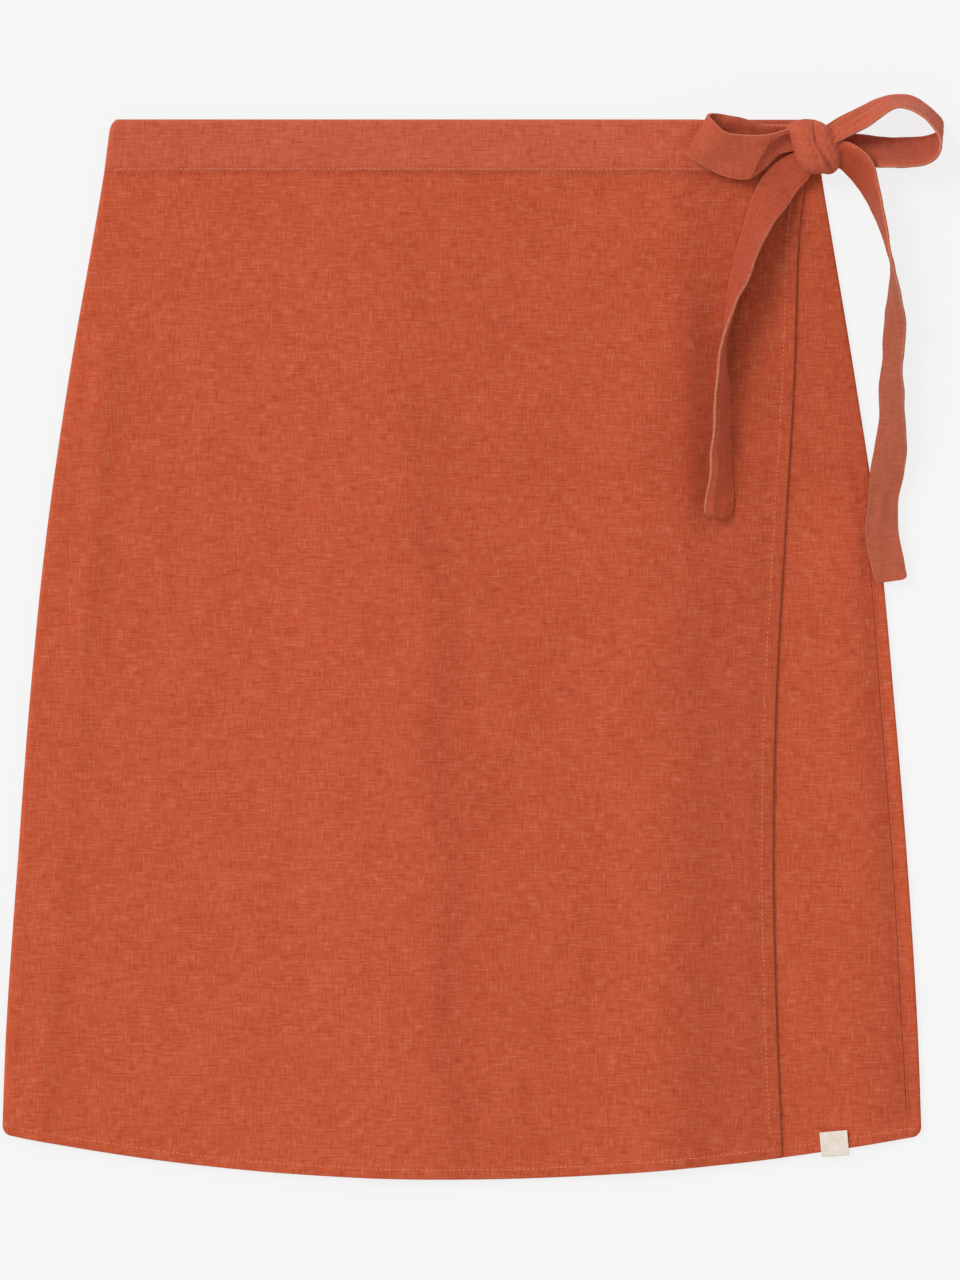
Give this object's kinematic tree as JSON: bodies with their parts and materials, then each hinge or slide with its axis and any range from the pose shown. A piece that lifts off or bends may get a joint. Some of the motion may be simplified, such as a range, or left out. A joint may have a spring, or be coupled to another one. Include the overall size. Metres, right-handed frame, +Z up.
{
  "type": "wrap skirt",
  "caption": "Linen wrap skirt laid flat, with a plain waistband, lapped fronts, a curved hem, a bare hem tab and a tied bow at one side.",
  "frame": {"origin": "on the surface that the skirt lies on, under the middle of the whole outline with the bow", "axes": "+Y towards the waist, +X towards the side with the bow, +Z up, out of the over front"},
  "size_m": [0.5085, 0.5862, 0.025],
  "materials": {
    "linen": "plain-weave linen in rust, matte, with fine slubs",
    "waistband_linen": "the same linen, doubled and pressed",
    "tie_linen": "the same linen, folded and edge-stitched into a narrow tie",
    "cotton_tape": "woven cream cotton tape, bare"
  },
  "bodies": {
    "root": {"back_panel": "linen", "under_front": "linen", "over_front": "linen", "waistband_back": "waistband_linen", "waistband_under": "waistband_linen", "waistband_over": "waistband_linen", "hem_label": "cotton_tape", "tie_knot": "tie_linen", "tie_loop_left": "tie_linen", "tie_loop_right": "tie_linen", "tie_tail_left": "tie_linen", "tie_tail_right": "tie_linen"}
  },
  "joints": []
}
